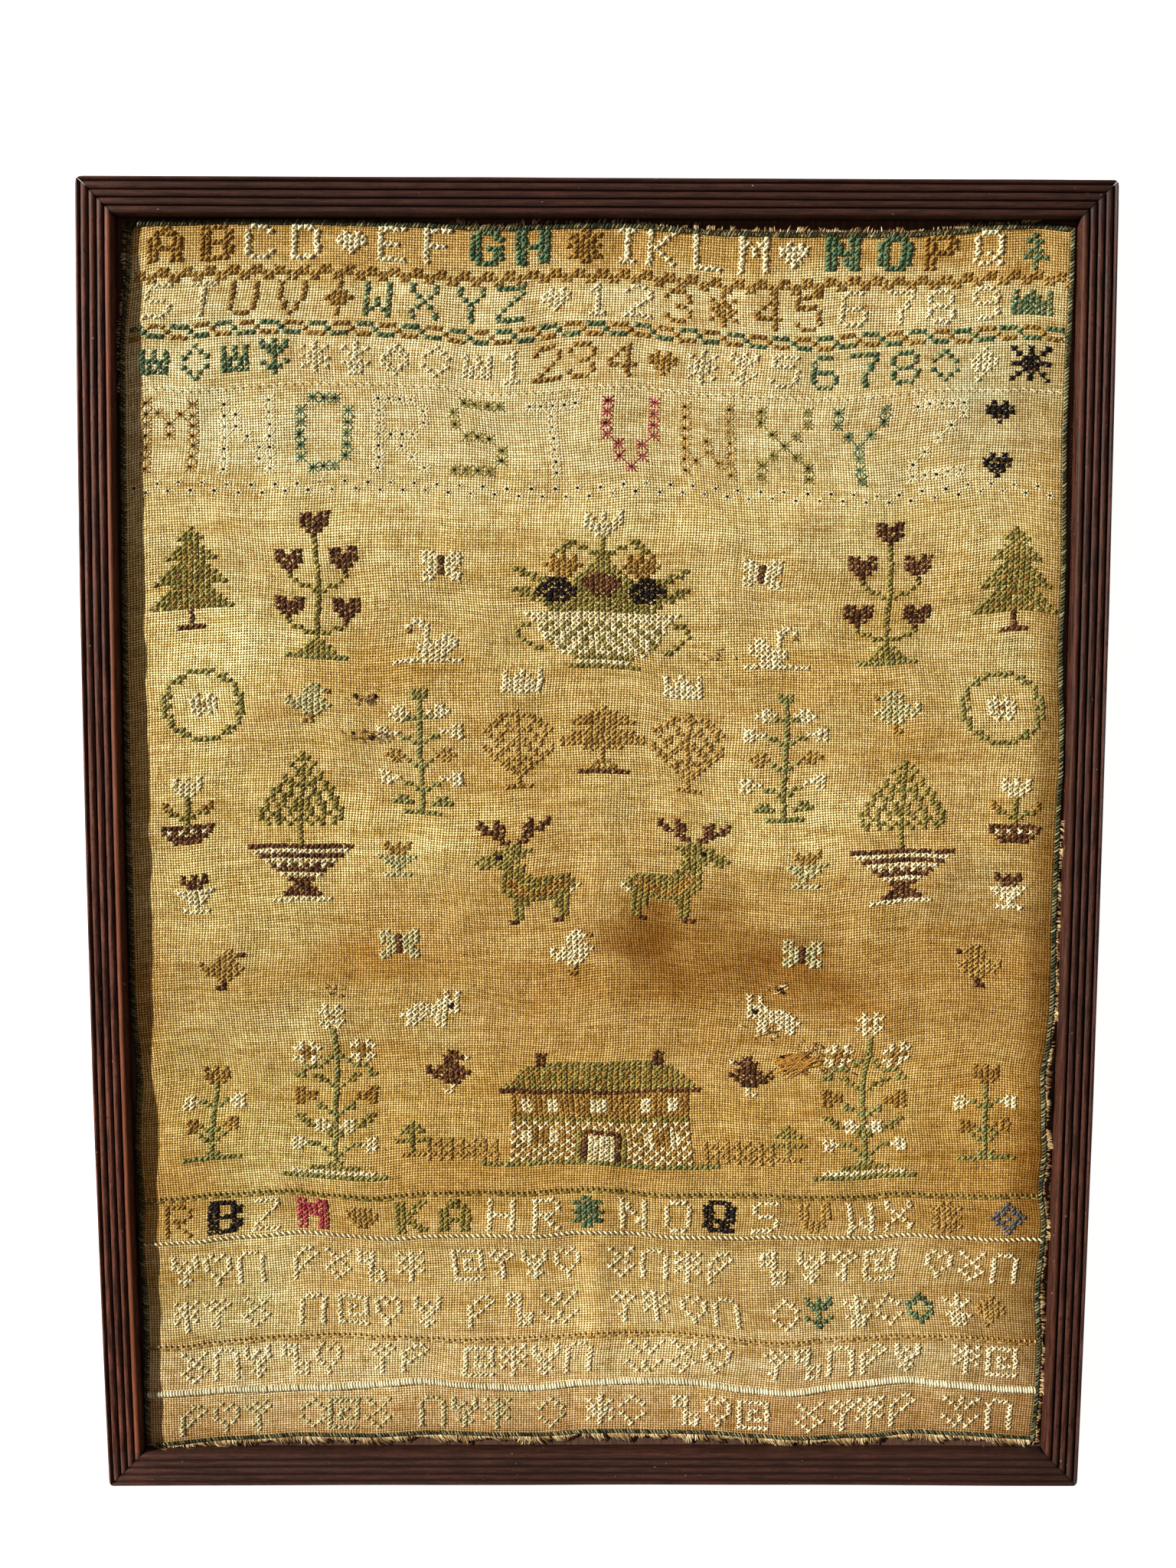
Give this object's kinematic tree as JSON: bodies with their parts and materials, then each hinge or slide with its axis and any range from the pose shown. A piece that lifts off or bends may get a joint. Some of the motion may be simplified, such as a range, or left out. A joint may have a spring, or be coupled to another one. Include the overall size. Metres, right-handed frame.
{
  "type": "framed cross stitch sampler",
  "caption": "Antique linen sampler worked in cross stitch, mounted in a narrow reeded wooden frame with a plain backing board.",
  "frame": {"origin": "under the middle of the frame's box, on the plane of its back", "axes": "+Z out of the picture's face, +Y towards the picture's top, +X to the picture's right"},
  "size_m": [0.3352, 0.4346, 0.0159],
  "materials": {
    "reeded_mahogany": "old dark red-brown wax polish, rubbed on the reeds",
    "plain_board": "plain dark unfinished board",
    "aged_linen": "open plain weave linen, yellowed and stained, worked with cream, green, brown, gold and crimson thread",
    "frayed_linen": "loose ravelled linen thread ends"
  },
  "bodies": {
    "root": {"rail_top": "reeded_mahogany", "rail_bottom": "reeded_mahogany", "rail_left": "reeded_mahogany", "rail_right": "reeded_mahogany", "backing_board": "plain_board", "linen_ground": "aged_linen", "frayed_bottom": "frayed_linen", "frayed_right": "frayed_linen", "frayed_top": "frayed_linen", "frayed_left": "frayed_linen"}
  },
  "joints": []
}
